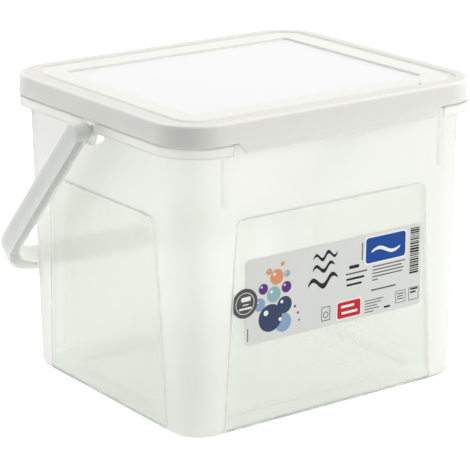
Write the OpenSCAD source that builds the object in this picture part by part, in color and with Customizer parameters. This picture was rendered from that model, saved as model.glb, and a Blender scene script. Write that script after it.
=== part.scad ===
// Powder storage container: a drafted tub with round corners and sunk side
// panels, a lid with a front pull tab, and a carrying handle on two side pegs.
// Millimetres. +X is right along the labelled front, +Y is the back, +Z is up.
// The origin is the middle of the foot, on the table. Heights in the values below
// count from the bottom edge of the walls, which the foot lifts off the table.

/* [Tub] */
// Outside width just under the rim, left to right.
tub_w = 199.6; // [175:0.2:235]
// Outside depth just under the rim, front to back.
tub_d = 174.6; // [165:0.2:200]
// Height of the top of the rim.
rim_z = 178.6; // [165:0.2:230]
// Radius of the upright corners just under the rim.
corner_r = 20.8; // [18:0.2:24]
// How much further in each wall stands at the base than under the rim.
draft_in = 2.5; // [1.5:0.1:3.5]
// Thickness of the walls.
wall = 1.4; // [1.2:0.1:1.8]
// Thickness of the floor.
floor_t = 1.8; // [1.4:0.1:2.6]
// Rounding of the bottom edge.
base_r = 4.4; // [3.6:0.1:5.6]

/* [Stacking foot] */
// Gap left and right between the foot and the sunk middle of a lid below it.
stack_gap_x = 0.5; // [0.4:0.1:3]
// Gap front and back between the foot and the sunk middle of a lid below it.
stack_gap_y = 3; // [0.4:0.1:4]
// How much shallower the foot is than the sunk middle of the lid.
stack_gap_z = 0.3; // [0.1:0.05:0.5]

/* [Sunk side panels] */
// How far the top edge of the panels lies below the lip.
panel_drop = 38.6; // [36:0.1:60]
// How deep the panels are sunk.
panel_sink = 1.4; // [0.8:0.1:1.8]
// How wide the slope is that leads down into a panel all round.
panel_slope = 1.6; // [1:0.1:2.4]
// How far the front and back panels stop short of the round corners at the top.
panel_front_in = 13.2; // [11:0.1:20]
// How far the side panels stop short of the round corners at the top.
panel_side_in = 12.9; // [11:0.1:20]
// How much further out each edge of a panel stands at the bottom.
panel_spread = 7.8; // [3:0.1:8.5]
// Rounding of the panels' top corners.
panel_r = 4.5; // [3.5:0.5:12]

/* [Front ribs] */
// Gap between a rib and the break in the lip beside it.
rib_gap = 0.8; // [0.4:0.1:1]
// Width of a rib.
rib_w = 2.9; // [2.4:0.1:4]
// How far the rim's side of a rib stands off the wall.
rib_out = 1.2; // [0.8:0.1:1.6]
// How far the ribs reach down below the lip.
rib_len = 29.5; // [20:0.5:32]

/* [Rim] */
// How far the rim's lip stands off the wall.
lip_out = 6.2; // [6:0.1:6.6]
// How far the lip reaches down from the ledge.
lip_h = 6.3; // [5:0.1:7]
// Height of the rim above the ledge the lid comes down to.
rim_h = 10.4; // [9.6:0.1:12]
// Thickness of the rim, its ledge and its lip.
rim_t = 1.3; // [1.1:0.05:1.5]
// How far the lip sits outside the rim above it.
ledge_w = 1.6; // [1.4:0.1:1.8]
// How much the rim's outside leans in towards its top.
rim_lean = 0.8; // [0.6:0.05:1]
// Gap in the lip beside each end of the pull tab.
notch_play = 2.5; // [1.5:0.1:3]

/* [Lid] */
// Thickness of the lid.
lid_t = 1.4; // [1.2:0.05:1.6]
// How far the bottom of the lid's skirt stands outside the lip.
skirt_out = 0.5; // [0.4:0.05:0.8]
// Gap between the ledge and the bottom of the skirt.
skirt_gap = 0.3; // [0.3:0.05:0.6]
// How much the skirt leans in towards the top.
skirt_lean = 1; // [0.8:0.05:1.1]
// Rounding of the lid's top edge.
lid_edge_r = 1.2; // [0.8:0.1:1.3]
// Width of the flat band on top, outside the groove.
band_w = 7.8; // [7.4:0.1:8.2]
// Width of the groove, between the middles of its slopes.
groove_w = 4.6; // [4:0.1:5.2]
// Depth of the groove.
groove_sink = 0.9; // [0.5:0.05:1]
// Width of the flat frame left and right of the sunk middle.
frame_x = 12.7; // [10:0.1:30]
// Width of the flat frame in front of and behind the sunk middle.
frame_y = 14.7; // [10:0.1:30]
// How far the middle of the lid is sunk.
field_sink = 1.3; // [0.8:0.05:1.6]
// Rounding of the sunk middle's corners.
field_r = 2.5; // [1.5:0.5:6]
// How far the sealing ring reaches down inside the mouth.
seal_h = 5.6; // [4:0.1:8]
// Gap between the sealing ring and the mouth.
seal_gap = 0.6; // [0.4:0.05:0.8]
// How far each end of the pull tab stops short of the round corner.
tab_inset = 8.5; // [7.6:0.1:20]
// How much shorter the tab is at each lower end.
tab_slant = 5.5; // [3:0.1:8]
// How far the tab reaches below the skirt.
tab_h = 5.7; // [4:0.1:6.2]

/* [Handle] */
// How far the middle of the pegs lies below the ledge.
peg_drop = 6.7; // [6.5:0.1:12]
// Radius of a peg.
peg_r = 2.9; // [2.4:0.1:3.2]
// Radial play of a peg in its hole.
peg_play = 0.08; // [0.04:0.01:0.1]
// Distance from the pegs to the outside of the grip.
arm_len = 142.4; // [140:0.2:190]
// Width of the handle's strip.
strip_w = 11.5; // [9:0.1:13]
// Depth of the arms from outside to inside.
arm_t = 8.1; // [7:0.1:10]
// Depth of the grip from outside to inside.
grip_t = 9.8; // [8:0.1:12]
// Thickness of the handle's walls round its hollow.
strip_wall = 1.6; // [1.2:0.1:2]
// Outer radius of the two bends.
bend_r = 33; // [24:0.5:40]
// How far the arms stand off the lid on each side.
arm_gap = 2.5; // [1.5:0.1:4]
// Gap between the back wall and the grip that hangs against it.
rest_gap = 0.7; // [0.5:0.05:2]

/* [Label and sticker] */
// How far the label's top left corner stops short of the slope round the panel.
label_left = 5.9; // [2:0.1:20]
// How far the label's top right corner stops short of the slope round the panel.
label_right = 0.3; // [0.2:0.1:20]
// Height of the label.
label_h = 49.4; // [30:0.2:70]
// How far the label's top edge lies below the panel's top edge.
label_drop = 24.3; // [10:0.1:40]
// Rounding of the label's corners.
label_r = 2.5; // [1:0.1:5]
// Thickness of the label.
label_t = 0.15; // [0.1:0.01:0.2]
// Diameter of the round sticker.
sticker_dia = 17; // [10:0.2:20]
// Gap between the sticker and the top of the slope on the left.
sticker_gap = 0.3; // [0.2:0.1:4]
// How far the middle of the sticker lies above the middle of the label.
sticker_up = 0.3; // [-4:0.1:4]
// Thickness of the sticker.
sticker_t = 0.3; // [0.25:0.01:0.4]

/* [Hidden] */
$fn = 64;
// A little more than nothing, so that a cut goes through its face.
cut = 1;
tub_color = [0.91, 0.93, 0.91];
lid_color = [0.95, 0.95, 0.94];
label_color = [0.86, 0.87, 0.85];
sticker_color = [0.33, 0.33, 0.34];

// Middles of the round corners, shared by the tub, its rim and the lid.
mid_x = tub_w / 2 - corner_r;
mid_y = tub_d / 2 - corner_r;
// Distances from those middles: the wall at the base and where it meets the lip.
ledge_z = rim_z - rim_h;
lip_z = ledge_z - lip_h;
base_out = corner_r - draft_in;
slope_out = draft_in / lip_z;
lean = atan(slope_out);
lip_far = corner_r + lip_out;
rim_low_far = lip_far - ledge_w;
rim_top_far = rim_low_far - rim_lean;
mouth = corner_r - wall;
rim_edge = 0.5;
panel_top = lip_z - panel_drop;
panel_front_top = 2 * (mid_x - panel_front_in);
panel_side_top = 2 * (mid_y - panel_side_in);
panel_side_turn = atan(panel_spread / panel_top);
// The slope round a panel: how far it runs sideways for each millimetre of depth.
slope_run = panel_slope / panel_sink;
slope_turn = atan(slope_run);
// Small bead round the rim that the lid's ridge snaps under.
bead_out = 0.2;
bead_z = rim_z - 5.6;
bead_h = 1.6;

lid_z = rim_z + lid_t;
skirt_low_z = ledge_z + skirt_gap;
skirt_low_far = lip_far + skirt_out;
skirt_top_far = skirt_low_far - skirt_lean;
band_in = skirt_top_far - band_w;
groove_slope = 0.8;
groove_in = band_in - groove_w;
field_z = lid_z - field_sink;
field_w = 2 * (mid_x + groove_in - groove_slope / 2 - frame_x);
field_d = 2 * (mid_y + groove_in - groove_slope / 2 - frame_y);
seal_far = mouth - seal_gap;
ridge_in = 0.45;
ridge_h = 1;
ridge_up = skirt_lean * 2 * ridge_h / (lid_z - skirt_low_z);
skirt_turn = atan(skirt_lean / (lid_z - skirt_low_z));
tab_bead = 0.4;
tab_w = 2 * (mid_x - tab_inset);
notch_w = tab_w + 2 * notch_play;
rib_x = notch_w / 2 + rib_gap + rib_w / 2;
rib_low = lip_z - rib_len;

// Foot under the tub, to stand in the sunk middle of the lid below.
foot_w = field_w - 2 * stack_gap_x;
foot_d = field_d - 2 * stack_gap_y;
foot_drop = field_sink - stack_gap_z;
foot_r = field_r + floor_t;

// Pivot bosses: the wide root ends in the lip, the narrow end reaches the handle.
boss_root_r = 8;
boss_root_x = mid_x + lip_far - rim_t / 2;
boss_r = 6.4;
boss_out = 0.3;
boss_x = mid_x + lip_far + boss_out;
boss_gap = 0.3;
hub_r = 4.6;
peg_z = ledge_z - peg_drop;
peg_off_wall = 1.5;
hole_end_gap = 0.5;
peg_in_x = mid_x + corner_r + peg_off_wall;
hole_in_x = peg_in_x - hole_end_gap;
arm_in_x = mid_x + skirt_low_far + arm_gap;
arm_out_x = arm_in_x + arm_t;
grip_in = arm_len - grip_t;

// Angle below level at which the grip's lower inner edge meets the leaning back wall.
rest_along = grip_in + slope_out * strip_w / 2;
rest_across = slope_out * grip_in - strip_w / 2;
rest_far = mid_y + base_out + slope_out * peg_z + rest_gap;
hang = atan2(rest_across, rest_along) + acos(rest_far / norm([rest_along, rest_across]));

label_top_w = panel_front_top + 2 * (panel_spread * label_drop / panel_top - panel_slope);
label_w = label_top_w - label_left - label_right;
label_x = (label_left - label_right) / 2;
label_z = panel_top - label_drop - label_h / 2;
sticker_z = label_z + sticker_up;
sticker_x = panel_front_top / 2 + panel_spread * (1 - sticker_z / panel_top)
    - sticker_gap - sticker_dia / 2;

// Where the front wall's outer face stands at a height, before the panel is sunk.
function wall_y(z) = mid_y + base_out + slope_out * z;

// Everything below is drawn from the bottom edge of the walls and stands on the foot.
module raised() {
    translate([0, 0, foot_drop]) children();
}

// A 2D outline of distance from the corner middles and height, carried once
// round the tub: four straight sides and four quarter turns.
module around() {
    for (side = [0, 1]) mirror([side, 0, 0])
        translate([mid_x, mid_y, 0]) rotate([90, 0, 0]) linear_extrude(height = 2 * mid_y) children();
    for (side = [0, 1]) mirror([0, side, 0])
        rotate([0, 0, 90]) translate([mid_y, mid_x, 0]) rotate([90, 0, 0])
            linear_extrude(height = 2 * mid_x) children();
    for (side = [0, 1], end = [0, 1]) mirror([side, 0, 0]) mirror([0, end, 0])
        translate([mid_x, mid_y, 0]) rotate_extrude(angle = 90) children();
}

// A plate between two heights under the whole of the straight part.
module middle(low, high) {
    translate([-mid_x, -mid_y, low]) cube([2 * mid_x, 2 * mid_y, high - low]);
}

// An upright rounded block, its corners' radius r.
module block(w, d, r, low, high) {
    translate([0, 0, low]) linear_extrude(height = high - low) {
        square([w - 2 * r, d], center = true);
        square([w, d - 2 * r], center = true);
        for (x = [-1, 1], y = [-1, 1]) translate([x * (w / 2 - r), y * (d / 2 - r)]) circle(r);
    }
}

// Where the middle of a rounding of radius r lies, level with a corner at far
// whose side leans by turn.
function round_at(far, r, turn) = far - r * (1 - sin(turn)) / cos(turn);

// Outline from the corner middles to a leaning side, its lower edge rounded.
module shell_outline(low_far, high_far, low, high, r) {
    x = round_at(low_far, r, lean);
    polygon([
        [0, low], [x, low], [x + r * cos(lean), low + r * (1 - sin(lean))],
        [high_far, lip_z], [high_far, high], [0, high]
    ]);
    translate([x, low + r]) circle(r);
}

module tub_outline() {
    shell_outline(base_out, corner_r, 0, lip_z, base_r);
}

// Outline of the tub's hollow, a wall's thickness inside and open at the top.
module hollow_outline() {
    low_far = base_out - wall + slope_out * floor_t;
    shell_outline(low_far, mouth, floor_t, rim_z + cut, base_r - wall);
}

// Outline of the rim: up from the wall, over the top, down outside, and out
// over the ledge to the lip.
module rim_outline() {
    step = ledge_z - rim_t;
    slope = rim_lean / rim_h;
    bead_root = rim_top_far + slope * (rim_z - bead_z);
    polygon([
        [mouth, lip_z], [corner_r, lip_z], [corner_r, rim_z - rim_t],
        [rim_top_far - rim_t, rim_z - rim_t], [rim_low_far - rim_t, step],
        [lip_far - rim_t, step], [lip_far - rim_t, lip_z], [lip_far, lip_z],
        [lip_far, ledge_z], [rim_low_far, ledge_z],
        [bead_root + slope * bead_h / 2, bead_z - bead_h / 2], [bead_root + bead_out, bead_z],
        [bead_root - slope * bead_h / 2, bead_z + bead_h / 2],
        [rim_top_far + slope * rim_edge, rim_z - rim_edge], [rim_top_far - rim_edge, rim_z],
        [mouth + rim_edge, rim_z], [mouth, rim_z - rim_edge]
    ]);
}

// Outline across the edge of a panel: a slope down from the wall's face to depth,
// further out by grow. It counts from the middle of the corner rounding, and
// starts back from there where it has to run into the rest of the cutter.
module edge_outline(depth, grow, back = 0) {
    r = panel_r + grow;
    polygon([
        [-back, -depth], [r - slope_run * depth, -depth], [r + slope_run * cut, cut], [-back, cut]
    ]);
}

// Cutter for one sunk panel, wider at the bottom and leaning with a wall that
// stands reach away there. Its top corners are rounded.
module panel_cut(reach, top_w, depth, grow) {
    x = top_w / 2 + panel_r * (tan(panel_side_turn) - 1 / cos(panel_side_turn));
    y = panel_top - panel_r;
    down = y + 2 * cut;
    low_x = x + down * tan(panel_side_turn);
    translate([0, -reach, 0]) rotate([90 + lean, 0, 0]) {
        translate([0, 0, -depth]) linear_extrude(height = depth + cut)
            polygon([[-low_x, y - down], [low_x, y - down], [x, y], [-x, y]]);
        translate([-x, y, 0]) rotate([90, 0, 90]) linear_extrude(height = 2 * x)
            edge_outline(depth, grow, cut);
        for (side = [0, 1]) mirror([side, 0, 0]) translate([x, y, 0]) {
            rotate_extrude() edge_outline(depth, grow);
            rotate([90, 0, panel_side_turn]) linear_extrude(height = down / cos(panel_side_turn))
                edge_outline(depth, grow, cut);
        }
    }
}

module front_panel_cut(depth, grow) {
    panel_cut(mid_y + base_out, panel_front_top, depth, grow);
}

module all_panel_cuts(depth, grow) {
    for (turn = [0, 180]) rotate([0, 0, turn]) front_panel_cut(depth, grow);
    for (turn = [90, 270]) rotate([0, 0, turn])
        panel_cut(mid_x + base_out, panel_side_top, depth, grow);
}

module tub_outside() {
    difference() {
        union() {
            around() tub_outline();
            middle(0, lip_z);
        }
        all_panel_cuts(panel_sink, 0);
    }
    block(foot_w, foot_d, foot_r, -foot_drop, floor_t / 2);
}

module tub_hollow() {
    difference() {
        union() {
            around() hollow_outline();
            middle(floor_t, rim_z + cut);
        }
        all_panel_cuts(panel_sink + wall, wall / cos(slope_turn));
    }
    block(foot_w - 2 * floor_t, foot_d - 2 * floor_t, foot_r - floor_t, floor_t - foot_drop, floor_t + cut);
}

// A rib under the rim, its lower end running out into the wall.
module front_rib(x) {
    face = wall_y(lip_z) + rib_out;
    translate([x + rib_w / 2, 0, 0]) rotate([90, 0, -90]) linear_extrude(height = rib_w)
        polygon([
            [wall_y(rib_low) - wall / 2, rib_low], [face - rib_out / 2, rib_low],
            [face, rib_low + 2 * rib_out], [face, ledge_z], [wall_y(rib_low) - wall / 2, ledge_z]
        ]);
}

// Pivot boss on the right side, up to the underside of the lid's skirt.
module boss() {
    intersection() {
        translate([mid_x + mouth + wall / 2, 0, peg_z]) rotate([0, 90, 0]) {
            cylinder(h = boss_root_x - mid_x - mouth - wall / 2, r = boss_root_r);
            cylinder(h = boss_x - mid_x - mouth - wall / 2, r = boss_r);
        }
        translate([0, -boss_root_r - cut, 0]) cube([boss_x + cut, 2 * (boss_root_r + cut), ledge_z]);
    }
}

module peg_hole() {
    translate([hole_in_x, 0, peg_z]) rotate([0, 90, 0]) cylinder(h = arm_in_x, r = peg_r + peg_play);
}

module tub() {
    color(tub_color) raised() difference() {
        union() {
            difference() {
                union() tub_outside();
                union() tub_hollow();
            }
            around() rim_outline();
            for (side = [-1, 1]) front_rib(side * rib_x);
            for (side = [0, 1]) mirror([side, 0, 0]) boss();
        }
        for (side = [0, 1]) mirror([side, 0, 0]) peg_hole();
        translate([-notch_w / 2, -mid_y - lip_far - cut, lip_z - cut])
            cube([notch_w, lip_far - rim_low_far + cut, lip_h + 2 * cut]);
    }
}

// Outline of the lid from the skirt to the corner middles, with the snap ridge
// inside the skirt and the sealing ring inside the mouth. Only the outer quarter
// of the rounding is used, because the lid is thinner than the whole circle.
module lid_outline() {
    in = lid_t;
    low_in = skirt_low_far - in;
    top_in = skirt_top_far - in;
    r = lid_edge_r;
    x = round_at(skirt_top_far, r, skirt_turn);
    half = groove_slope / 2;
    flat_in = groove_in - half - in / 2;
    polygon([
        [low_in, skirt_low_z], [skirt_low_far, skirt_low_z],
        [x + r * cos(skirt_turn), lid_z - r * (1 - sin(skirt_turn))], [x, lid_z],
        [band_in + half, lid_z], [band_in - half, lid_z - groove_sink],
        [groove_in + half, lid_z - groove_sink], [groove_in - half, lid_z],
        [0, lid_z], [0, rim_z], [flat_in, rim_z],
        [flat_in + groove_slope, rim_z - groove_sink], [seal_far - in, rim_z - groove_sink],
        [seal_far - in, rim_z - seal_h], [seal_far, rim_z - seal_h + in / 2],
        [seal_far, rim_z], [top_in, rim_z],
        [low_in - ridge_up, skirt_low_z + 2 * ridge_h],
        [low_in - ridge_in, skirt_low_z + ridge_h]
    ]);
    translate([x, lid_z - r]) intersection() {
        circle(r);
        square(r);
    }
}

// The pull tab, hanging from the front of the skirt with slanted ends.
module tab() {
    far = mid_y + skirt_low_far;
    low = skirt_low_z - tab_h;
    intersection() {
        translate([tab_w / 2, 0, 0]) rotate([90, 0, -90]) linear_extrude(height = tab_w)
            polygon([
                [far - lid_t, low], [far + tab_bead, low], [far + tab_bead, low + lid_t],
                [far, low + 2 * lid_t], [far, skirt_low_z], [far - lid_t, skirt_low_z]
            ]);
        translate([0, -far + 2 * lid_t, 0]) rotate([90, 0, 0]) linear_extrude(height = 4 * lid_t)
            polygon([
                [-tab_w / 2, skirt_low_z], [-tab_w / 2 + tab_slant, low], [tab_w / 2 - tab_slant, low],
                [tab_w / 2, skirt_low_z]
            ]);
    }
}

module lid() {
    both = 2 * lid_t;
    color(lid_color) raised() difference() {
        union() {
            around() lid_outline();
            middle(rim_z, lid_z);
            block(field_w + both, field_d + both, field_r + lid_t, field_z - lid_t, lid_z);
            tab();
        }
        block(field_w, field_d, field_r, field_z, lid_z + cut);
    }
}

// Flat outline of the handle between the pegs: two arms and the grip, their
// outside half_w from the middle and len from the pegs, rounded with r.
module bail(half_w, len, r) {
    translate([-half_w, 0]) square([2 * half_w, len - r]);
    translate([-half_w + r, 0]) square([2 * (half_w - r), len]);
    for (s = [-1, 1]) translate([s * (half_w - r), len - r]) circle(r);
}

// The band between two such outlines, as tall as the strip from low to high.
module bail_band(inset, low, high) {
    translate([0, 0, low]) linear_extrude(height = high - low) difference() {
        bail(arm_out_x - inset, arm_len - inset, bend_r - inset);
        translate([0, -cut]) bail(arm_in_x + inset, grip_in + inset + cut, bend_r - arm_t + inset);
    }
}

// Round end of the right arm, from x in to x out.
module arm_end(inset) {
    translate([arm_in_x + inset, 0, 0]) rotate([0, 90, 0])
        cylinder(h = arm_t - 2 * inset, r = strip_w / 2 - inset);
}

module peg() {
    tip = peg_r / 3;
    translate([peg_in_x, 0, 0]) rotate([0, 90, 0]) rotate_extrude()
        polygon([
            [0, 0], [peg_r - tip, 0], [peg_r, tip], [peg_r, boss_x + boss_gap - peg_in_x],
            [hub_r, boss_x + boss_gap - peg_in_x], [hub_r, arm_in_x + strip_wall / 2 - peg_in_x],
            [0, arm_in_x + strip_wall / 2 - peg_in_x]
        ]);
}

// The handle as it hangs behind the tub, hollow on its lower face.
module handle() {
    color(lid_color) raised() translate([0, 0, peg_z]) rotate([-hang, 0, 0]) {
        difference() {
            union() {
                bail_band(0, -strip_w / 2, strip_w / 2);
                for (side = [0, 1]) mirror([side, 0, 0]) arm_end(0);
            }
            bail_band(strip_wall, -strip_w / 2 - cut, strip_w / 2 - strip_wall);
            for (side = [0, 1]) mirror([side, 0, 0]) arm_end(strip_wall);
        }
        for (side = [0, 1]) mirror([side, 0, 0]) peg();
    }
}

// A flat piece lying on the sunk front panel, t thick, and reaching into the
// panel by under where it is a cutter.
module on_panel(t, under = 0) {
    translate([0, -mid_y - base_out, 0]) rotate([lean, 0, 0]) translate([0, panel_sink + under, 0])
        rotate([90, 0, 0]) linear_extrude(height = t + under) children();
}

module label_outline() {
    translate([label_x, label_z]) {
        square([label_w - 2 * label_r, label_h], center = true);
        square([label_w, label_h - 2 * label_r], center = true);
        for (x = [-1, 1], y = [-1, 1])
            translate([x * (label_w / 2 - label_r), y * (label_h / 2 - label_r)]) circle(label_r);
    }
}

module label() {
    color(label_color) raised() on_panel(label_t) label_outline();
}

// The sticker lies on the panel, on the label and, at its left, on the slope, and
// is the same thickness on the panel and the slope.
module round_sticker() {
    color(sticker_color) raised() difference() {
        intersection() {
            on_panel(panel_sink, cut) translate([-sticker_x, sticker_z]) circle(sticker_dia / 2);
            front_panel_cut(panel_sink, 0);
        }
        front_panel_cut(panel_sink - sticker_t, -sticker_t / cos(slope_turn));
        on_panel(label_t, cut) label_outline();
    }
}

tub();
lid();
handle();
label();
round_sticker();
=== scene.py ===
import math
import random

import bmesh
import bpy
from mathutils import Matrix, Vector


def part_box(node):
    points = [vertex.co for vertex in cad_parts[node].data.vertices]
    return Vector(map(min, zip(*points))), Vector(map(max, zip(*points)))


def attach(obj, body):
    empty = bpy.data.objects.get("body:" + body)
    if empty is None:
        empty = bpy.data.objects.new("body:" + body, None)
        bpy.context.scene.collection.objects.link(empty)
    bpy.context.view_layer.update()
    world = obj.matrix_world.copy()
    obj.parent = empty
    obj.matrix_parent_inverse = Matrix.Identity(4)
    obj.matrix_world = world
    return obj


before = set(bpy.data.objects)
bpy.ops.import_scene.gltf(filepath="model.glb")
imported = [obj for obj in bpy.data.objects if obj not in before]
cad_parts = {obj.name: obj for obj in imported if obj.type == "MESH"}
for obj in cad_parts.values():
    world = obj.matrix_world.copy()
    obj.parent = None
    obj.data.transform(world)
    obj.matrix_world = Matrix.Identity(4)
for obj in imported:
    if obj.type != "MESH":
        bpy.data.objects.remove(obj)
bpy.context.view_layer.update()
print("frame loaded:", sorted(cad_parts))

# Camera, at the photograph's angle
cameraView = {
    "azimuth": -35.53,     # degrees, where 0 looks along +Y
    "elevation": 16.94,
    "roll": -0.24,
    "distance": 1.17236,
    "aim": (-0.07343, -0.09438, 0.11966),
    "lens": 168.28,        # mm
    "sensor": 36,          # mm
    "clip": (0.05, 50),
}


def addCamera(view):
    az, el, roll = (math.radians(view[k]) for k in ("azimuth", "elevation", "roll"))
    back = Vector((math.sin(az) * math.cos(el), -math.cos(az) * math.cos(el), math.sin(el)))
    right = Vector((0, 0, 1)).cross(back).normalized()
    up = back.cross(right)
    turnedRight = right * math.cos(roll) + up * math.sin(roll)
    turnedUp = up * math.cos(roll) - right * math.sin(roll)
    data = bpy.data.cameras.new("photoCamera")
    data.sensor_width = view["sensor"]
    data.lens = view["lens"]
    data.clip_start, data.clip_end = view["clip"]
    camera = bpy.data.objects.new("photoCamera", data)
    place = Matrix((turnedRight, turnedUp, back)).transposed().to_4x4()
    place.translation = Vector(view["aim"]) + back * view["distance"]
    camera.matrix_world = place
    bpy.context.scene.collection.objects.link(camera)
    bpy.context.scene.camera = camera
    print("camera placed")


addCamera(cameraView)


# Materials
def newMaterial(name):
    material = bpy.data.materials.new(name)
    material.use_nodes = True
    tree = material.node_tree
    return material, tree, tree.nodes["Principled BSDF"]


def addNode(tree, kind, **values):
    node = tree.nodes.new(kind)
    for key, value in values.items():
        if key in node.inputs:
            node.inputs[key].default_value = value
        else:
            setattr(node, key, value)
    return node


skinSetup = {                  # scale, detail and roughness of the two noises
    "grain": (900.0, 2.0, 0.6),
    "cloud": (14.0, 3.0, 0.5),
}


def makeMouldedSkin(setup):
    # fine grain and slow clouding of moulded plastic, shared by tub, lid and handle
    group = bpy.data.node_groups.new("mouldedSkin", "ShaderNodeTree")
    grainScale, grainDetail, grainRoughness = setup["grain"]
    cloudScale, cloudDetail, cloudRoughness = setup["cloud"]
    for name, value in (("Grain Scale", grainScale), ("Cloud Scale", cloudScale)):
        socket = group.interface.new_socket(name, in_out="INPUT", socket_type="NodeSocketFloat")
        socket.default_value = value
    for name in ("Height", "Cloud"):
        group.interface.new_socket(name, in_out="OUTPUT", socket_type="NodeSocketFloat")
    inside = addNode(group, "NodeGroupInput")
    outside = addNode(group, "NodeGroupOutput")
    place = addNode(group, "ShaderNodeTexCoord")
    grain = addNode(group, "ShaderNodeTexNoise", Detail=grainDetail, Roughness=grainRoughness)
    cloud = addNode(group, "ShaderNodeTexNoise", Detail=cloudDetail, Roughness=cloudRoughness)
    group.links.new(place.outputs["Object"], grain.inputs["Vector"])
    group.links.new(place.outputs["Object"], cloud.inputs["Vector"])
    group.links.new(inside.outputs["Grain Scale"], grain.inputs["Scale"])
    group.links.new(inside.outputs["Cloud Scale"], cloud.inputs["Scale"])
    group.links.new(grain.outputs["Fac"], outside.inputs["Height"])
    group.links.new(cloud.outputs["Fac"], outside.inputs["Cloud"])
    return group


mouldedSkin = makeMouldedSkin(skinSetup)


def addMath(tree, operation, *values):
    # math node over sockets and numbers; gives its result
    node = addNode(tree, "ShaderNodeMath", operation=operation)
    for socket, value in zip(node.inputs, values):
        if isinstance(value, bpy.types.NodeSocket):
            tree.links.new(value, socket)
        else:
            socket.default_value = value
    return node.outputs[0]


pressedPanelsAndBottomShade = {              # metres: the tub's four sunk panels and the slope round them
    "top": 0.1243,
    "frontHalf": 0.0736,       # half a panel's width at the bottom
    "sideHalf": 0.0614,
    "narrowing": 0.0633,       # how much narrower each edge gets per metre of height
    "slope": 0.0016,
    "slopeMargin": 0.0004,
    "flat": 0.9,               # a normal with this much along one axis belongs to a flat face
    "panelRoughness": 0.55,    # share of the roughness of the rest
    "slopeRoughness": 0.15,
    "panelTint": (0.96, 0.975, 0.96),
    "bottomHeight": 0.012,     # flat faces below this height are as clear as the slopes
    # painted shade: a darker colour for the tub's bottom
    "bottomShade": (0.91, 0.935, 0.915),
}


def addPanelsAndBottomShade(tree, panels, colour, roughness):
    # panels are clearer than the corners, the slopes and the bottom clearest; the bottom has painted
    # shade
    place = addNode(tree, "ShaderNodeTexCoord")
    at = addNode(tree, "ShaderNodeSeparateXYZ")
    tree.links.new(place.outputs["Object"], at.inputs[0])
    facing = addNode(tree, "ShaderNodeSeparateXYZ")
    tree.links.new(place.outputs["Normal"], facing.inputs[0])
    narrower = addMath(tree, "MULTIPLY", at.outputs["Z"], panels["narrowing"])
    depths = []
    for axis, half in (("X", panels["frontHalf"]), ("Y", panels["sideHalf"])):
        edge = addMath(tree, "SUBTRACT", half, narrower)
        depths.append(addMath(tree, "SUBTRACT", edge, addMath(tree, "ABSOLUTE", at.outputs[axis])))
    below = addMath(tree, "SUBTRACT", panels["top"], at.outputs["Z"])
    inside = addMath(tree, "MINIMUM", addMath(tree, "MAXIMUM", *depths), below)
    panel = addNode(tree, "ShaderNodeMapRange")
    panel.inputs["From Max"].default_value = panels["slope"]
    tree.links.new(inside, panel.inputs["Value"])
    tint = addNode(tree, "ShaderNodeMix", data_type="RGBA", blend_type="MULTIPLY")
    tint.inputs["B"].default_value = (*panels["panelTint"], 1)
    tree.links.new(panel.outputs["Result"], tint.inputs["Factor"])
    tree.links.new(colour, tint.inputs["A"])
    clearer = addNode(tree, "ShaderNodeMix", data_type="FLOAT")
    clearer.inputs["A"].default_value = 1.0
    clearer.inputs["B"].default_value = panels["panelRoughness"]
    tree.links.new(panel.outputs["Result"], clearer.inputs["Factor"])
    sideways = [addMath(tree, "ABSOLUTE", facing.outputs[axis]) for axis in "XY"]
    tilted = addMath(tree, "LESS_THAN", addMath(tree, "MAXIMUM", *sideways), panels["flat"])
    upward = addMath(tree, "ABSOLUTE", facing.outputs["Z"])
    level = addMath(tree, "GREATER_THAN", upward, panels["flat"])
    near = addMath(tree, "GREATER_THAN", inside, -panels["slopeMargin"])
    onSlope = addMath(tree, "MULTIPLY", addMath(tree, "SUBTRACT", tilted, level), near)
    low = addMath(tree, "LESS_THAN", at.outputs["Z"], panels["bottomHeight"])
    onBottom = addMath(tree, "MULTIPLY", level, low)
    clearest = addMath(tree, "MAXIMUM", onSlope, onBottom)
    # painted shade darkens the tub's bottom
    shadedBottom = addNode(tree, "ShaderNodeMix", data_type="RGBA", blend_type="MULTIPLY")
    shadedBottom.inputs["B"].default_value = (*panels["bottomShade"], 1)
    tree.links.new(onBottom, shadedBottom.inputs["Factor"])
    tree.links.new(tint.outputs["Result"], shadedBottom.inputs["A"])
    share = addNode(tree, "ShaderNodeMix", data_type="FLOAT")
    share.inputs["B"].default_value = panels["slopeRoughness"]
    tree.links.new(clearest, share.inputs["Factor"])
    tree.links.new(clearer.outputs["Result"], share.inputs["A"])
    return shadedBottom.outputs["Result"], addMath(tree, "MULTIPLY", roughness, share.outputs["Result"])


lidTonesAndPaintedLight = {                   # metres
    "core": (0.079, 0.0665),   # half sizes of the rectangle that groove and edge run round
    "groove": (0.0143, 0.0237),    # from here to here outside the core
    # painted shade: darkens the colour over the groove and the band outside it
    "grooveShade": (0.935, 0.935, 0.92),
    # painted highlight on the lid's rounded outer edge: where it starts, how high, its colour
    "edge": 0.0254,            # from here outwards
    "edgeHeight": 0.1798,      # and from here upwards
    "edgeHighlightColour": (0.985, 0.975, 0.925),
    "field": (0.08, 0.0655),   # half sizes of the sunk middle
    "fieldColour": (0.9, 0.9, 0.9),
    "markPlace": (0.0654, -0.0808, 0.181),    # on the frame, near the right front corner
    "markRadius": 0.0007,
    "markColour": (0.3, 0.3, 0.29),
}


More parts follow.
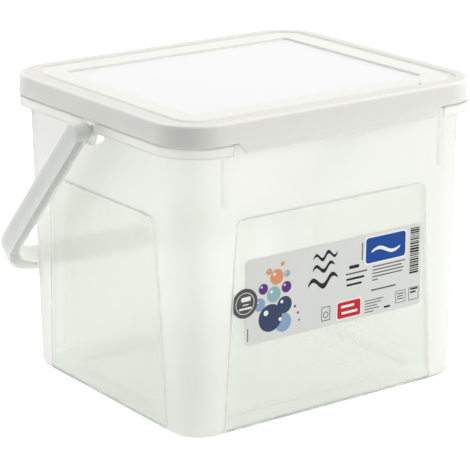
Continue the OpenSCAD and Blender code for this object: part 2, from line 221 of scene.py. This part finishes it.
def addLidTonesAndPaintedLight(tree, tonesAndPaintedLight, colour):
    # painted shade in the groove, a painted highlight on the outer edge, a white middle and a small
    # moulding mark
    place = addNode(tree, "ShaderNodeTexCoord")
    at = addNode(tree, "ShaderNodeSeparateXYZ")
    tree.links.new(place.outputs["Object"], at.inputs[0])
    far = [addMath(tree, "ABSOLUTE", at.outputs[axis]) for axis in "XY"]

    def blend(mask, other, kind="MIX"):
        mixed = addNode(tree, "ShaderNodeMix", data_type="RGBA", blend_type=kind)
        mixed.inputs["B"].default_value = (*other, 1)
        tree.links.new(mask, mixed.inputs["Factor"])
        tree.links.new(colour, mixed.inputs["A"])
        return mixed.outputs["Result"]

    outside = [addMath(tree, "MAXIMUM", addMath(tree, "SUBTRACT", value, half), 0.0)
               for value, half in zip(far, tonesAndPaintedLight["core"])]
    squares = [addMath(tree, "MULTIPLY", value, value) for value in outside]
    reach = addMath(tree, "SQRT", addMath(tree, "ADD", *squares))
    grooveIn, grooveOut = tonesAndPaintedLight["groove"]
    grooveShadeMask = addMath(tree, "MULTIPLY", addMath(tree, "GREATER_THAN", reach, grooveIn),
                       addMath(tree, "LESS_THAN", reach, grooveOut))
    # painted shade in the groove
    colour = blend(grooveShadeMask, tonesAndPaintedLight["grooveShade"], "MULTIPLY")
    # painted highlight on the outer edge
    edgeHighlightMask = addMath(tree, "MULTIPLY", addMath(tree, "GREATER_THAN", reach, tonesAndPaintedLight["edge"]),
                     addMath(tree, "GREATER_THAN", at.outputs["Z"], tonesAndPaintedLight["edgeHeight"]))
    colour = blend(edgeHighlightMask, tonesAndPaintedLight["edgeHighlightColour"])
    inField = addMath(tree, "MULTIPLY", *(addMath(tree, "LESS_THAN", value, half)
                                          for value, half in zip(far, tonesAndPaintedLight["field"])))
    colour = blend(inField, tonesAndPaintedLight["fieldColour"])
    gap = addNode(tree, "ShaderNodeVectorMath", operation="DISTANCE")
    gap.inputs[1].default_value = tonesAndPaintedLight["markPlace"]
    tree.links.new(place.outputs["Object"], gap.inputs[0])
    onMark = addMath(tree, "LESS_THAN", gap.outputs["Value"], tonesAndPaintedLight["markRadius"])
    return blend(onMark, tonesAndPaintedLight["markColour"])


plasticSetup = {
    "grainHeight": 0.0001,     # metres
    "scatterRadius": (1, 1, 1),
    "scatterScale": 0.012,     # metres
}


def plasticMaterial(finish, setup):
    # moulded plastic whose colour and roughness drift slightly over the piece
    material, tree, shader = newMaterial(finish["name"])
    skin = addNode(tree, "ShaderNodeGroup")
    skin.node_tree = mouldedSkin
    skin.inputs["Grain Scale"].default_value = finish["grainScale"]
    skin.inputs["Cloud Scale"].default_value = finish["cloudScale"]
    tone = addNode(tree, "ShaderNodeMix", data_type="RGBA")
    tone.inputs["A"].default_value = (*finish["colour"], 1)
    tone.inputs["B"].default_value = (*finish["cloudColour"], 1)
    tree.links.new(skin.outputs["Cloud"], tone.inputs["Factor"])
    colour = tone.outputs["Result"]
    gloss = addNode(tree, "ShaderNodeMapRange")
    gloss.inputs["To Min"].default_value = finish["roughness"][0]
    gloss.inputs["To Max"].default_value = finish["roughness"][1]
    tree.links.new(skin.outputs["Cloud"], gloss.inputs["Value"])
    roughness = gloss.outputs["Result"]
    if finish["panels"]:
        # the tub's bottom gets painted shade here
        colour, roughness = addPanelsAndBottomShade(tree, finish["panels"], colour, roughness)
    # the lid's groove gets painted shade here and its outer edge a painted highlight
    if finish["tonesAndPaintedLight"]:
        colour = addLidTonesAndPaintedLight(tree, finish["tonesAndPaintedLight"], colour)
    tree.links.new(colour, shader.inputs["Base Color"])
    tree.links.new(roughness, shader.inputs["Roughness"])
    bump = addNode(tree, "ShaderNodeBump", Strength=finish["grain"], Distance=setup["grainHeight"])
    tree.links.new(skin.outputs["Height"], bump.inputs["Height"])
    softEdge = addNode(tree, "ShaderNodeBevel", Radius=finish["edgeRadius"])
    tree.links.new(softEdge.outputs["Normal"], bump.inputs["Normal"])
    tree.links.new(bump.outputs["Normal"], shader.inputs["Normal"])
    shader.inputs["Transmission Weight"].default_value = finish["clearness"]
    if finish["lampLight"]:
        # thin plastic lets lamp light through to what stands behind it
        path = addNode(tree, "ShaderNodeLightPath")
        passed = addMath(tree, "MULTIPLY", path.outputs["Is Shadow Ray"], finish["lampLight"])
        tree.links.new(addMath(tree, "SUBTRACT", 1.0, passed), shader.inputs["Alpha"])
    shader.inputs["Subsurface Weight"].default_value = finish["depth"]
    shader.inputs["Subsurface Radius"].default_value = setup["scatterRadius"]
    shader.inputs["Subsurface Scale"].default_value = setup["scatterScale"]
    shader.inputs["IOR"].default_value = finish["ior"]
    shader.inputs["Specular IOR Level"].default_value = finish["shine"]
    return material


tubFinish = {
    "name": "milkyTubPlastic",
    "colour": (0.965, 0.97, 0.945),
    "cloudColour": (0.98, 0.982, 0.96),
    "roughness": (0.32, 0.4),
    "grain": 0.012,
    "grainScale": 900.0,
    "cloudScale": 14.0,
    "clearness": 0.8,
    "lampLight": 0.9,          # share that each surface lets through
    "depth": 0.0,
    "edgeRadius": 0.002,
    "ior": 1.2,                # less than the real 1.49, which keeps thin edges light
    "shine": 0.5,
    "panels": pressedPanelsAndBottomShade,
    "tonesAndPaintedLight": None,
}
lidFinish = {
    "name": "whiteLidPlastic",
    "colour": (0.87, 0.865, 0.815),
    "cloudColour": (0.89, 0.885, 0.835),
    "roughness": (0.34, 0.42),
    "grain": 0.2,
    "grainScale": 1100.0,
    "cloudScale": 18.0,
    "clearness": 0.0,
    "lampLight": 0.0,
    "depth": 0.2,
    "edgeRadius": 0.0006,
    "ior": 1.49,
    "shine": 0.35,
    "panels": None,
    "tonesAndPaintedLight": lidTonesAndPaintedLight,
}
handleFinish = {
    "name": "whiteHandlePlastic",
    "colour": (0.89, 0.92, 0.85),
    "cloudColour": (0.91, 0.93, 0.87),
    "roughness": (0.36, 0.44),
    "grain": 0.25,
    "grainScale": 1300.0,
    "cloudScale": 22.0,
    "clearness": 0.0,
    "lampLight": 0.0,
    "depth": 0.7,
    "edgeRadius": 0.0006,
    "ior": 1.49,
    "shine": 0.35,
    "panels": None,
    "tonesAndPaintedLight": None,
}


paperSetup = {
    "fibreDetail": 4.0,
    "fibreRoughness": 0.65,
    "fibreStrength": 0.15,
    "fibreHeight": 0.00005,    # metres
}
inkSetup = {
    "fibreGain": 1.12,         # ink over a fibre is this much lighter
    "fibreLift": 0.01,
    "roughness": 0.45,
    "shine": 0.15,
    "fibreScale": 1400.0,
}


def paperMaterial(finish, setup):
    # coated paper: faint fibres in colour and height
    material, tree, shader = newMaterial(finish["name"])
    place = addNode(tree, "ShaderNodeTexCoord")
    fibre = addNode(tree, "ShaderNodeTexNoise", Scale=finish["fibreScale"],
                    Detail=setup["fibreDetail"], Roughness=setup["fibreRoughness"])
    tree.links.new(place.outputs["Object"], fibre.inputs["Vector"])
    tone = addNode(tree, "ShaderNodeMix", data_type="RGBA")
    tone.inputs["A"].default_value = (*finish["colour"], 1)
    tone.inputs["B"].default_value = (*finish["fibreColour"], 1)
    tree.links.new(fibre.outputs["Fac"], tone.inputs["Factor"])
    tree.links.new(tone.outputs["Result"], shader.inputs["Base Color"])
    bump = addNode(tree, "ShaderNodeBump", Strength=setup["fibreStrength"],
                   Distance=setup["fibreHeight"])
    tree.links.new(fibre.outputs["Fac"], bump.inputs["Height"])
    tree.links.new(bump.outputs["Normal"], shader.inputs["Normal"])
    shader.inputs["Roughness"].default_value = finish["roughness"]
    shader.inputs["Specular IOR Level"].default_value = finish["shine"]
    return material


def inkMaterial(name, colour, setup):
    lighter = tuple(min(1.0, c * setup["fibreGain"] + setup["fibreLift"]) for c in colour)
    finish = {
        "name": name,
        "colour": colour,
        "fibreColour": lighter,
        "roughness": setup["roughness"],
        "shine": setup["shine"],
        "fibreScale": setup["fibreScale"],
    }
    return paperMaterial(finish, paperSetup)


labelFinish = {
    "name": "labelPaper",
    "colour": (0.725, 0.735, 0.695),
    "fibreColour": (0.76, 0.77, 0.73),
    "roughness": 0.5,
    "shine": 0.4,
    "fibreScale": 1200.0,
}
stickerFinish = {
    "name": "stickerPaper",
    "colour": (0.07, 0.07, 0.07),
    "fibreColour": (0.09, 0.09, 0.09),
    "roughness": 0.42,
    "shine": 0.25,
    "fibreScale": 1200.0,
}

nodeMaterials = {
    "tub": plasticMaterial(tubFinish, plasticSetup),
    "lid": plasticMaterial(lidFinish, plasticSetup),
    "handle": plasticMaterial(handleFinish, plasticSetup),
    "label": paperMaterial(labelFinish, paperSetup),
    "round_sticker": paperMaterial(stickerFinish, paperSetup),
}
for nodeName, material in nodeMaterials.items():
    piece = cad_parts[nodeName]
    for materialSlot in piece.material_slots:
        materialSlot.material = material
    if not piece.material_slots:
        piece.data.materials.append(material)
print("materials set:", ", ".join(nodeMaterials))


# Print on the label and the sticker: bubbles, strokes, fields, bars, frames and stripes
mm = 0.001
printSetup = {
    "inkThickness": 0.03,      # mm, as all lengths of the print
    "wallLean": 0.8847,        # degrees, the wall's draft
    "stickerAboveLabel": 0.15,
    "discSegments": 48,
    "cornerSegments": 6,
    "strokeSegments": 40,
    "strokeEnd": 0.3,          # share of a stroke's thickness that is left at its ends
    "strokeSwell": 0.5,        # power: smaller swells faster
    "bubbleTopLayer": 2,
    "strokeLayer": 2,
    "shineLayer": 3,
    "shine": (0.2, -0.38, 0.42),   # radius and place of a bubble's highlight, shares of its radius
    "lineCorner": 1 / 3,       # share of a line's thickness
}
inks = {
    "ink_dark": (0.012, 0.012, 0.014),
    "ink_grey": (0.10, 0.10, 0.10),
    "ink_blue": (0.004, 0.062, 0.31),
    "ink_red": (0.56, 0.014, 0.022),
    "ink_orange": (0.70, 0.30, 0.15),
    "ink_purple": (0.115, 0.03, 0.21),
    "ink_teal": (0.27, 0.45, 0.48),
    "ink_slate": (0.035, 0.055, 0.115),
    "ink_mist": (0.25, 0.37, 0.55),
    "ink_light": (0.86, 0.86, 0.85),
}
bubbles = [                    # ink, x, y, radius, from the label's middle; the first lie lowest
    ("ink_mist", -36.6, -15.8, 5.6),
    ("ink_slate", -45.5, -11.5, 8.0),
    ("ink_slate", -35.8, -5.6, 5.0),
    ("ink_mist", -53.0, -2.4, 3.8),
    ("ink_teal", -43.2, 1.8, 4.6),
    ("ink_purple", -50.4, 6.2, 3.1),
    ("ink_purple", -34.6, 4.6, 3.3),
    ("ink_orange", -41.2, 11.6, 4.5),
    ("ink_teal", -34.2, 12.4, 2.0),
    ("ink_orange", -46.6, 15.6, 1.9),
    ("ink_orange", -37.4, 18.6, 1.3),
    ("ink_purple", -28.6, -8.0, 0.8),
    ("ink_purple", -26.4, -12.2, 0.7),
    ("ink_purple", -25.4, -16.6, 0.6),
]
strokes = [                    # ink, x, y, length, thickness, height of the swing, bends, turn
    ("ink_dark", -7.4, 17.6, 17.0, 2.3, 1.8, 4, 5),
    ("ink_dark", -8.6, 10.8, 15.5, 2.5, 1.9, 3, 5),
    ("ink_dark", -9.0, 2.6, 21.0, 3.2, 2.6, 3, 6),
    ("ink_light", 36.0, 13.6, 21.0, 2.2, 1.7, 2, 0),
]
fields = [                     # ink, x, y, width, height, corner, layer
    ("ink_light", 36.0, 14.6, 31.0, 17.0, 2.6, 0),
    ("ink_blue", 36.0, 14.6, 29.0, 15.0, 2.0, 1),
    ("ink_light", 10.0, -17.4, 18.2, 11.2, 1.7, 0),
    ("ink_red", 10.0, -17.4, 16.6, 9.6, 1.2, 1),
    ("ink_light", 9.0, -15.4, 9.5, 1.5, 0.5, 2),
    ("ink_light", 10.4, -19.2, 11.5, 1.5, 0.5, 2),
    ("ink_dark", 13.2, 7.2, 7.2, 2.0, 0.6, 0),
    ("ink_grey", 15.0, 3.4, 15.5, 0.9, 0.3, 0),
    ("ink_dark", 14.2, 0.2, 13.0, 1.3, 0.4, 0),
    ("ink_dark", 13.4, -3.2, 11.0, 1.3, 0.4, 0),
    ("ink_grey", 18.9, 15.2, 0.8, 10.5, 0.3, 0),
    ("ink_grey", 35.0, -9.6, 18.0, 0.9, 0.3, 0),
    ("ink_grey", -60.9, -18.6, 0.6, 7.5, 0.2, 0),
    ("ink_dark", 38.0, -21.6, 4.6, 1.2, 0.4, 0),
]
paragraphs = [                 # ink, left edge, top line, line pitch, line height, lengths of the lines
    ("ink_grey", 26.6, 4.4, 2.0, 0.7, (24.0, 21.5, 23.0, 22.0, 4.0)),
    ("ink_grey", 21.6, -15.4, 1.7, 0.55, (13.5, 12.0, 9.0, 10.5, 6.5)),
    ("ink_grey", 45.4, -15.6, 1.6, 0.6, (5.0, 4.2, 5.0)),
    ("ink_dark", 55.0, -14.6, 1.9, 1.0, (5.6, 4.4)),
]
frames = [                     # ink, x, y, width, height, line
    ("ink_grey", -6.6, -17.0, 6.2, 8.4, 0.45),
    ("ink_grey", 47.9, -17.4, 7.4, 7.4, 0.35),
    ("ink_grey", 57.6, -17.4, 7.6, 7.8, 0.35),
]
rings = [("ink_grey", -6.6, -17.6, 1.9, 0.5)]    # ink, x, y, radius, line
stripeBlock = {
    "ink": "ink_dark",
    "x": 57.4,
    "low": -4.5,
    "high": 22.5,
    "width": 6.6,
    "thin": 0.35,
    "thick": 1.3,
    "gap": 0.8,
    "corner": 0.05,
    "seed": 7,
}
stickerFields = [              # x, y, width, height, corner, from the sticker's middle
    (0.6, 2.4, 6.4, 2.6, 0.8),
    (0.4, -0.8, 4.0, 0.6, 0.2),
    (0.2, -3.0, 8.4, 1.1, 0.4),
]
stickerRing = (6.3, 0.35)      # radius and line


def fieldShape(width, height, corner):
    shape = bmesh.new()
    bmesh.ops.create_cube(shape, size=1)
    bmesh.ops.scale(shape, vec=(width, height, printSetup["inkThickness"]), verts=shape.verts)
    half = printSetup["inkThickness"] / 2
    upright = [e for e in shape.edges if abs(e.verts[0].co.z - e.verts[1].co.z) > half]
    bmesh.ops.bevel(shape, geom=upright, offset=corner, segments=printSetup["cornerSegments"],
                    profile=0.5, affect="EDGES", material=-1)
    return shape


def discShape(radius):
    shape = bmesh.new()
    bmesh.ops.create_cone(shape, cap_ends=True, segments=printSetup["discSegments"],
                          radius1=radius, radius2=radius, depth=printSetup["inkThickness"])
    return shape


def ringShape(radius, line):
    shape = bmesh.new()
    half = printSetup["inkThickness"] / 2
    section = [(radius - line, -half), (radius, -half), (radius, half), (radius - line, half)]
    corners = [shape.verts.new((r, 0, z)) for r, z in section]
    edges = [shape.edges.new((corners[i - 1], corners[i])) for i in range(4)]
    bmesh.ops.spin(shape, geom=corners + edges, cent=(0, 0, 0), axis=(0, 0, 1), dvec=(0, 0, 0),
                   angle=math.tau, steps=printSetup["discSegments"], use_merge=True)
    bmesh.ops.recalc_face_normals(shape, faces=shape.faces)
    return shape


def strokeShape(length, thickness, swing, bends):
    # brushed stroke: a strip that swings up and down and thins out to its ends
    shape = bmesh.new()
    bmesh.ops.create_grid(shape, x_segments=printSetup["strokeSegments"], y_segments=1, size=0.5)
    end = printSetup["strokeEnd"]
    for v in shape.verts:
        along = v.co.x + 0.5
        swell = math.sin(math.pi * along) ** printSetup["strokeSwell"]
        wide = thickness * (end + (1 - end) * swell)
        v.co.y = v.co.y * wide + swing * math.sin(math.pi * bends * along)
        v.co.x *= length
        v.co.z = -printSetup["inkThickness"] / 2
    raised = bmesh.ops.extrude_face_region(shape, geom=list(shape.faces))["geom"]
    bmesh.ops.translate(shape, vec=(0, 0, printSetup["inkThickness"]),
                        verts=[g for g in raised if isinstance(g, bmesh.types.BMVert)])
    bmesh.ops.recalc_face_normals(shape, faces=shape.faces)
    return shape


def printShape(sheet, shape, x, y, layer=0, turn=0):
    # lays a shape on the sheet of one ink; x and y in mm from the middle
    lift = printSetup["inkThickness"] * (layer + 0.5)
    place = Matrix.Translation((x, y, lift)) @ Matrix.Rotation(math.radians(turn), 4, "Z")
    shape.transform(Matrix.Scale(mm, 4) @ place)
    mesh = bpy.data.meshes.new("shape")
    shape.to_mesh(mesh)
    shape.free()
    sheet.from_mesh(mesh)
    bpy.data.meshes.remove(mesh)


def labelPlane(lean):
    # x right, y up, z out of the label, from the middle of its outer face
    low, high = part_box("label")
    up = Vector((0, -math.sin(lean), math.cos(lean)))
    out = Vector((0, -math.cos(lean), -math.sin(lean)))
    height = (high.z - low.z) / math.cos(lean)
    plane = Matrix((Vector((1, 0, 0)), up, out)).transposed().to_4x4()
    plane.translation = Vector(((low.x + high.x) / 2, low.y, high.z)) - up * height / 2
    return plane


def stickerPlane(plane):
    # the same from the middle of the sticker's flat face
    low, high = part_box("round_sticker")
    middle = plane.inverted() @ ((low + high) / 2)
    middle.z = printSetup["stickerAboveLabel"] * mm
    moved = plane.copy()
    moved.translation = plane @ middle
    return moved


def finishInk(sheet, plane, name, ink):
    sheet.transform(plane)
    mesh = bpy.data.meshes.new(name)
    sheet.to_mesh(mesh)
    sheet.free()
    mesh.materials.append(inkMaterial(ink, inks[ink], inkSetup))
    piece = bpy.data.objects.new(name, mesh)
    bpy.context.scene.collection.objects.link(piece)
    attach(piece, "tub")


def printBubbles(sheets):
    small, right, up = printSetup["shine"]
    for level, (ink, x, y, radius) in enumerate(bubbles):
        layer = min(level, printSetup["bubbleTopLayer"])
        printShape(sheets[ink], discShape(radius), x, y, layer)
        printShape(sheets["ink_light"], discShape(radius * small),
                   x + radius * right, y + radius * up, printSetup["shineLayer"])


def printStrokes(sheets):
    for ink, x, y, length, thickness, swing, bends, turn in strokes:
        shape = strokeShape(length, thickness, swing, bends)
        printShape(sheets[ink], shape, x, y, printSetup["strokeLayer"], turn)


def printFields(sheets):
    rounding = printSetup["lineCorner"]
    for ink, x, y, width, height, corner, layer in fields:
        printShape(sheets[ink], fieldShape(width, height, corner), x, y, layer)
    for ink, left, top, pitch, height, lengths in paragraphs:
        for row, length in enumerate(lengths):
            bar = fieldShape(length, height, height * rounding)
            printShape(sheets[ink], bar, left + length / 2, top - row * pitch)
    for ink, x, y, width, height, line in frames:
        for side in (-1, 1):
            level = fieldShape(width, line, line * rounding)
            printShape(sheets[ink], level, x, y + side * (height - line) / 2)
            upright = fieldShape(line, height - 2 * line, line * rounding)
            printShape(sheets[ink], upright, x + side * (width - line) / 2, y)
    for ink, x, y, radius, line in rings:
        printShape(sheets[ink], ringShape(radius, line), x, y)


def printStripes(sheets, block):
    draw = random.Random(block["seed"])
    y = block["high"]
    while y > block["low"]:
        height = draw.uniform(block["thin"], block["thick"])
        stripe = fieldShape(block["width"], height, block["corner"])
        printShape(sheets[block["ink"]], stripe, block["x"], y - height / 2)
        y -= height + draw.uniform(block["thin"], block["gap"])


def printLabel():
    sheets = {ink: bmesh.new() for ink in inks}
    printBubbles(sheets)
    printStrokes(sheets)
    printFields(sheets)
    printStripes(sheets, stripeBlock)
    plane = labelPlane(math.radians(printSetup["wallLean"]))
    for ink, sheet in sheets.items():
        finishInk(sheet, plane, "label_" + ink, ink)
    sheet = bmesh.new()
    for x, y, width, height, corner in stickerFields:
        printShape(sheet, fieldShape(width, height, corner), x, y)
    printShape(sheet, ringShape(*stickerRing), 0, 0)
    finishInk(sheet, stickerPlane(plane), "sticker_ink_light", "ink_light")
    print("label and sticker printed")


printLabel()


# Light and floor
lightSetup = {
    "worldLight": (0.2, 1.0, 0.77),   # for matt surfaces, for camera and mirrors, through plastic
    "floorGlow": (0.25, 0.75),        # for matt surfaces, for camera and mirrors
    # painted shadow of the tub on the floor: seen through plastic, the floor glows less near the tub
    "glowThroughWithPaintedShadow": (0.72, 0.76),      # through plastic, near the tub and far from it
    "paintedShadowReach": (0.1, 0.16),         # metres from the tub's middle where the two are reached
    "floorSize": 12,
    "floorColour": (0.8, 0.8, 0.8),
    "floorColourThrough": (0.15, 0.15, 0.15),
    "softboxes": {             # place, size and power in watts; each looks at the tub
        "topSoftbox": ((0.1, 0.2, 1.5), 1.4, 16.0),
        "frontSoftbox": ((1.3, -1.1, 0.7), 1.0, 16.5),
        "leftSoftbox": ((-1.0, 1.2, 0.45), 1.0, 6.8),
    },
    "lookAt": (0, 0, 0.1),
}


def rayStrength(tree, matt, seen):
    # one strength for matt surfaces, another for the camera and for mirror-like surfaces, and a
    # third for what is seen through plastic: input B of the node that this gives first
    path = addNode(tree, "ShaderNodeLightPath")
    direct = addMath(tree, "MAXIMUM", path.outputs["Is Camera Ray"], path.outputs["Is Glossy Ray"])
    strength = addNode(tree, "ShaderNodeMapRange")
    strength.inputs["To Min"].default_value = matt
    strength.inputs["To Max"].default_value = seen
    tree.links.new(direct, strength.inputs["Value"])
    through = addNode(tree, "ShaderNodeMix", data_type="FLOAT")
    tree.links.new(path.outputs["Is Transmission Ray"], through.inputs["Factor"])
    tree.links.new(strength.outputs["Result"], through.inputs["A"])
    return through, path.outputs["Is Transmission Ray"]


def addWorld(setup):
    world = bpy.data.worlds.new("studioWorld")
    world.use_nodes = True
    bpy.context.scene.world = world
    tree = world.node_tree
    sky = tree.nodes["Background"]
    sky.inputs["Color"].default_value = (1, 1, 1, 1)
    matt, seen, through = setup["worldLight"]
    strength, _ = rayStrength(tree, matt, seen)
    strength.inputs["B"].default_value = through
    tree.links.new(strength.outputs["Result"], sky.inputs["Strength"])


def addFloor(setup):
    shape = bmesh.new()
    bmesh.ops.create_grid(shape, x_segments=1, y_segments=1, size=setup["floorSize"])
    mesh = bpy.data.meshes.new("studioFloor")
    shape.to_mesh(mesh)
    shape.free()
    floor = bpy.data.objects.new("studioFloor", mesh)
    bpy.context.scene.collection.objects.link(floor)
    material, tree, shader = newMaterial("studioFloor")
    strength, isThrough = rayStrength(tree, *setup["floorGlow"])
    place = addNode(tree, "ShaderNodeTexCoord")
    reach = addNode(tree, "ShaderNodeVectorMath", operation="LENGTH")
    tree.links.new(place.outputs["Object"], reach.inputs[0])
    # painted shadow: the floor's glow seen through plastic is lower near the tub
    paintedTubShadow = addNode(tree, "ShaderNodeMapRange")
    for name, value in zip(("From Min", "From Max", "To Min", "To Max"),
                           setup["paintedShadowReach"] + setup["glowThroughWithPaintedShadow"]):
        paintedTubShadow.inputs[name].default_value = value
    tree.links.new(reach.outputs["Value"], paintedTubShadow.inputs["Value"])
    tree.links.new(paintedTubShadow.outputs["Result"], strength.inputs["B"])
    tree.links.new(strength.outputs["Result"], shader.inputs["Emission Strength"])
    tone = addNode(tree, "ShaderNodeMix", data_type="RGBA")
    tone.inputs["A"].default_value = (*setup["floorColour"], 1)
    tone.inputs["B"].default_value = (*setup["floorColourThrough"], 1)
    tree.links.new(isThrough, tone.inputs["Factor"])
    tree.links.new(tone.outputs["Result"], shader.inputs["Base Color"])
    mesh.materials.append(material)


def addSoftbox(name, place, size, power, lookAt):
    data = bpy.data.lights.new(name, "AREA")
    data.size = size
    data.energy = power
    lamp = bpy.data.objects.new(name, data)
    lamp.location = place
    lamp.visible_glossy = False    # gloss shows the white room, not the lamps
    lamp.rotation_euler = (Vector(place) - Vector(lookAt)).to_track_quat("Z", "Y").to_euler()
    bpy.context.scene.collection.objects.link(lamp)


addWorld(lightSetup)
addFloor(lightSetup)
for boxName, (place, size, power) in lightSetup["softboxes"].items():
    addSoftbox(boxName, place, size, power, lightSetup["lookAt"])
bpy.context.scene.view_settings.view_transform = "Standard"
print("light and floor set")
